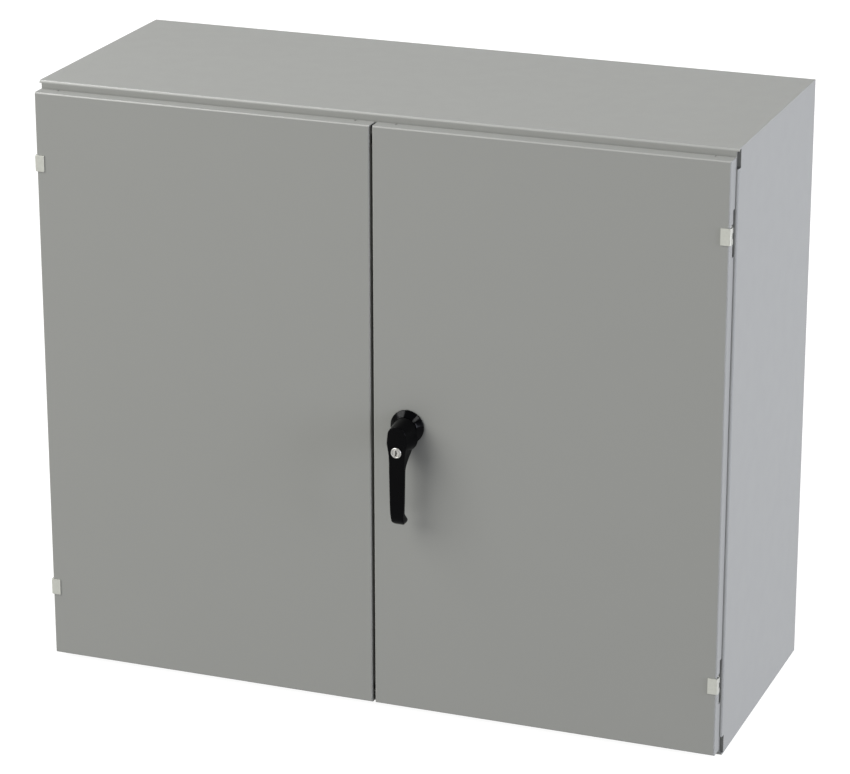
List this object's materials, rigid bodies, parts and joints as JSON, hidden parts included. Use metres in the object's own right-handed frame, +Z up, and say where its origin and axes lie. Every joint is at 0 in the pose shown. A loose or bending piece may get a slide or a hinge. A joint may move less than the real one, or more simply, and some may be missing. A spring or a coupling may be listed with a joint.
{
  "type": "two door wall mount electrical enclosure",
  "caption": "Grey sheet-steel wall cabinet with two hinged doors, centre post, mounting panel, locking L-handle and rod latch.",
  "frame": {"origin": "centre of the four wall holes, on the outside of the back", "axes": "+X to the right seen from the front, +Y back into the wall, +Z up; the doors face -Y"},
  "size_m": [1.0668, 0.4799, 0.9144],
  "materials": {
    "cabinet_powder_coat": "grey powder coat on folded sheet steel",
    "panel_white": "white powder coat, semi gloss",
    "zinc_plate": "bright zinc plate",
    "clip_zinc": "dull zinc casting",
    "brass": "bare brass stud",
    "foam_gasket": "foamed polyurethane strip",
    "seal_rubber": "neoprene",
    "handle_black": "gloss black on zinc die casting",
    "lock_nickel": "satin nickel",
    "pocket_plastic": "moulded polystyrene",
    "roller_nylon": "natural nylon"
  },
  "bodies": {
    "cabinet": {"back_sheet": "cabinet_powder_coat", "top_sheet": "cabinet_powder_coat", "bottom_sheet": "cabinet_powder_coat", "left_side_sheet": "cabinet_powder_coat", "right_side_sheet": "cabinet_powder_coat", "centre_post": "cabinet_powder_coat", "post_brackets": "cabinet_powder_coat", "post_screws": "zinc_plate", "mounting_panel": "panel_white", "panel_studs": "zinc_plate", "panel_washers": "zinc_plate", "panel_nuts": "zinc_plate", "ground_stud": "brass", "ground_nut": "brass", "left_hinge_leaves": "cabinet_powder_coat", "right_hinge_leaves": "cabinet_powder_coat", "hinge_pins": "zinc_plate"},
    "left_door": {"left_door_skin": "cabinet_powder_coat", "left_gasket": "foam_gasket", "left_stiffener": "cabinet_powder_coat", "left_hinge_clips": "clip_zinc", "document_pocket": "pocket_plastic", "left_bolt_guides": "zinc_plate", "left_ground_stud": "brass"},
    "left_upper_bolt": {"left_upper_bolt": "zinc_plate"},
    "left_lower_bolt": {"left_lower_bolt": "zinc_plate"},
    "right_door": {"right_door_skin": "cabinet_powder_coat", "right_gasket": "foam_gasket", "right_stiffener": "cabinet_powder_coat", "right_hinge_clips": "clip_zinc", "rod_guides": "zinc_plate", "right_ground_stud": "brass", "handle_base": "handle_black", "handle_seal": "seal_rubber", "handle_nut": "zinc_plate"},
    "handle": {"lever": "handle_black", "lock_housing": "lock_nickel", "spindle": "zinc_plate", "cam_plate": "zinc_plate", "cam_pins": "zinc_plate", "cam_screw": "zinc_plate"},
    "lock_plug": {"lock_plug": "lock_nickel"},
    "upper_rod": {"upper_rod": "zinc_plate", "upper_roller_pin": "zinc_plate"},
    "upper_roller": {"upper_roller": "roller_nylon"},
    "lower_rod": {"lower_rod": "zinc_plate", "lower_roller_pin": "zinc_plate"},
    "lower_roller": {"lower_roller": "roller_nylon"}
  },
  "joints": [
    {"name": "left_door_hinge", "type": "hinge", "parent": "cabinet", "child": "left_door", "pos_m": [-0.5258, -0.4194, 0], "axis": [0, 0, -1], "range_deg": [0, 120]},
    {"name": "right_door_hinge", "type": "hinge", "parent": "cabinet", "child": "right_door", "pos_m": [0.5258, -0.4194, 0], "axis": [0, 0, 1], "range_deg": [0, 120]},
    {"name": "handle_turn", "type": "hinge", "parent": "right_door", "child": "handle", "pos_m": [0.0555, -0.4364, 0], "axis": [0, -1, 0], "range_deg": [0, 90]},
    {"name": "key_turn", "type": "hinge", "parent": "handle", "child": "lock_plug", "pos_m": [0.0555, -0.4764, -0.025], "axis": [0, -1, 0], "range_deg": [0, 90]},
    {"name": "upper_rod_slide", "type": "slide", "parent": "right_door", "child": "upper_rod", "axis": [0, 0, -1], "range_m": [0, 0.0284]},
    {"name": "lower_rod_slide", "type": "slide", "parent": "right_door", "child": "lower_rod", "axis": [0, 0, 1], "range_m": [0, 0.0284]},
    {"name": "upper_roller_spin", "type": "hinge", "parent": "upper_rod", "child": "upper_roller", "pos_m": [0.03843, -0.3962, 0.422], "axis": [1, 0, 0], "continuous": true},
    {"name": "lower_roller_spin", "type": "hinge", "parent": "lower_rod", "child": "lower_roller", "pos_m": [0.07257, -0.3962, -0.422], "axis": [1, 0, 0], "continuous": true},
    {"name": "left_upper_bolt_slide", "type": "slide", "parent": "left_door", "child": "left_upper_bolt", "axis": [0, 0, 1], "range_m": [0, 0.014]},
    {"name": "left_lower_bolt_slide", "type": "slide", "parent": "left_door", "child": "left_lower_bolt", "axis": [0, 0, -1], "range_m": [0, 0.014]}
  ],
  "couplings": [
    {"joint": "upper_rod_slide", "follows": "handle_turn", "m_per_rad": 0.018006},
    {"joint": "lower_rod_slide", "follows": "handle_turn", "m_per_rad": 0.018006}
  ]
}
